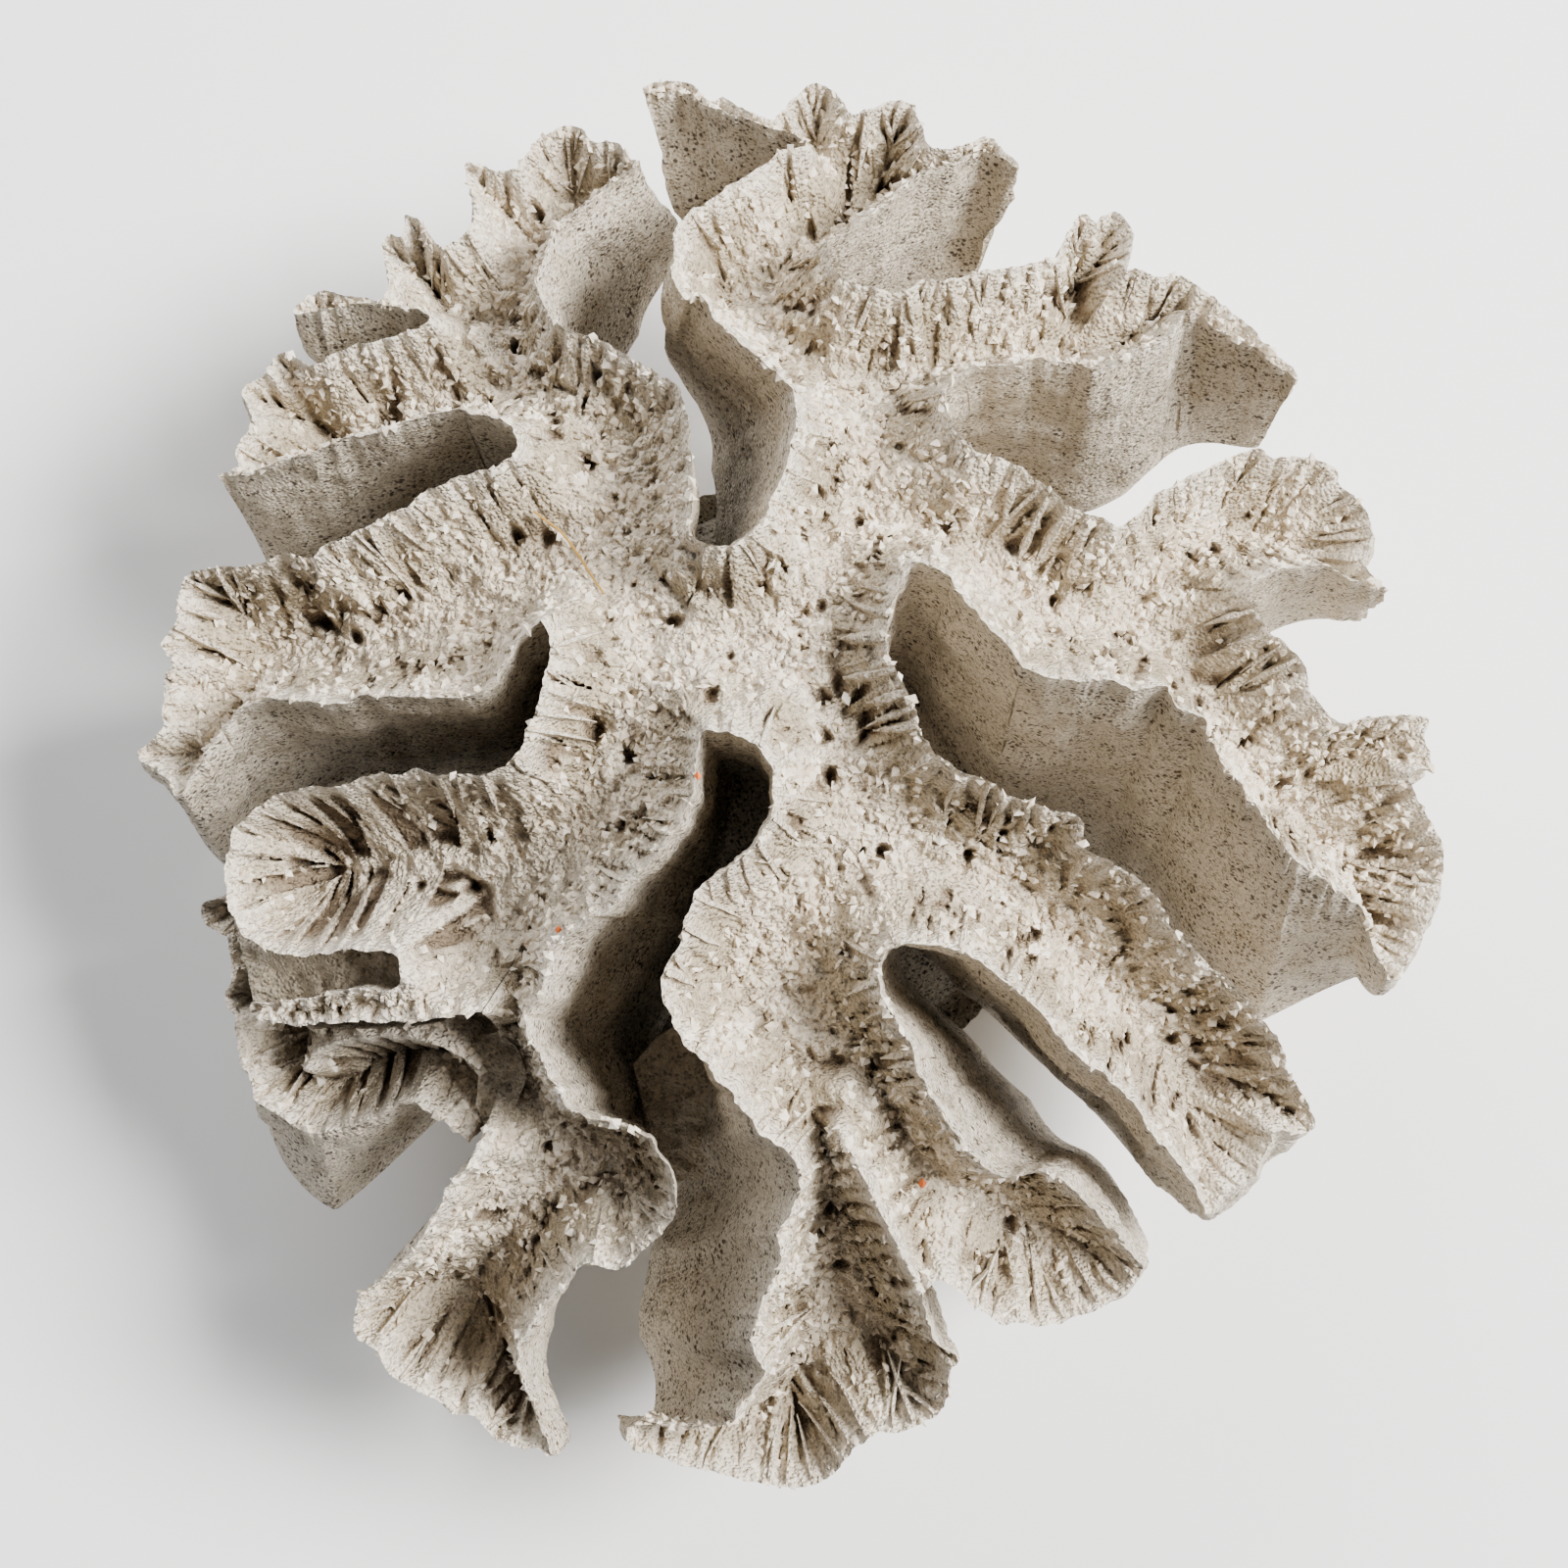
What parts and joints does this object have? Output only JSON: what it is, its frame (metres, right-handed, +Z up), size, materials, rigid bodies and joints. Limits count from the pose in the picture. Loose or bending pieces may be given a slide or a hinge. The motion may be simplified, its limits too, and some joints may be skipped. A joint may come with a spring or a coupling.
{
  "type": "brain coral skeleton",
  "caption": "Bleached skeleton of an open brain coral: a low dome of winding, septate valleys with deep smooth-walled clefts between them, cut flat below.",
  "frame": {"origin": "middle of the footprint of the whole skeleton, on the flat cut under the stalk", "axes": "+Z up from the flat cut through the crown; +Y along the crown's longest side, the top of the reference picture; +X to its right"},
  "size_m": [0.1739, 0.1894, 0.0949],
  "materials": {
    "crown_stone": "matte, chalky, with fine grains",
    "stalk_stone": "matte, with fine ribs"
  },
  "bodies": {
    "root": {"stalk": "stalk_stone", "crown_centre": "crown_stone", "north_lobe": "crown_stone", "north_east_lobe": "crown_stone", "east_upper_lobe": "crown_stone", "east_lobe": "crown_stone", "south_east_lobe": "crown_stone", "south_south_east_lobe": "crown_stone", "south_lobe": "crown_stone", "south_west_lobe": "crown_stone", "south_west_lower_lobe": "crown_stone", "west_lower_lobe": "crown_stone", "west_lobe": "crown_stone", "west_upper_lobe": "crown_stone", "north_west_lobe": "crown_stone"}
  },
  "joints": []
}
